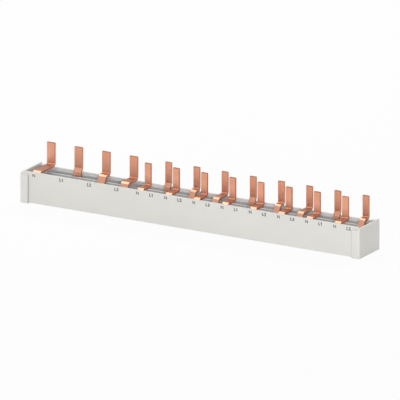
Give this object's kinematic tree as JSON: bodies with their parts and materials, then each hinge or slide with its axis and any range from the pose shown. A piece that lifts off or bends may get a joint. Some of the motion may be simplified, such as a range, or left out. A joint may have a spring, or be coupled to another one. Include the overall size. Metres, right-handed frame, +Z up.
{
  "type": "comb busbar",
  "caption": "Insulated comb busbar: a white plastic trough with closed ends and bent copper pins standing up for modular breakers.",
  "frame": {"origin": "middle of the bar in length and depth, on the surface that it stands on", "axes": "+X along the bar towards the last pin, +Y from the front with the phase letters to the back, +Z up along the blades"},
  "size_m": [0.2164, 0.023, 0.0306],
  "materials": {
    "trough_plastic": "extruded grey-white plastic, satin",
    "cap_plastic": "moulded grey-white plastic, satin",
    "copper": null
  },
  "bodies": {
    "root": {"insulating_profile": "trough_plastic", "neutral_comb": "copper", "line1_comb": "copper", "line2_comb": "copper", "line3_comb": "copper", "left_end_cap": "cap_plastic", "right_end_cap": "cap_plastic"}
  },
  "joints": []
}
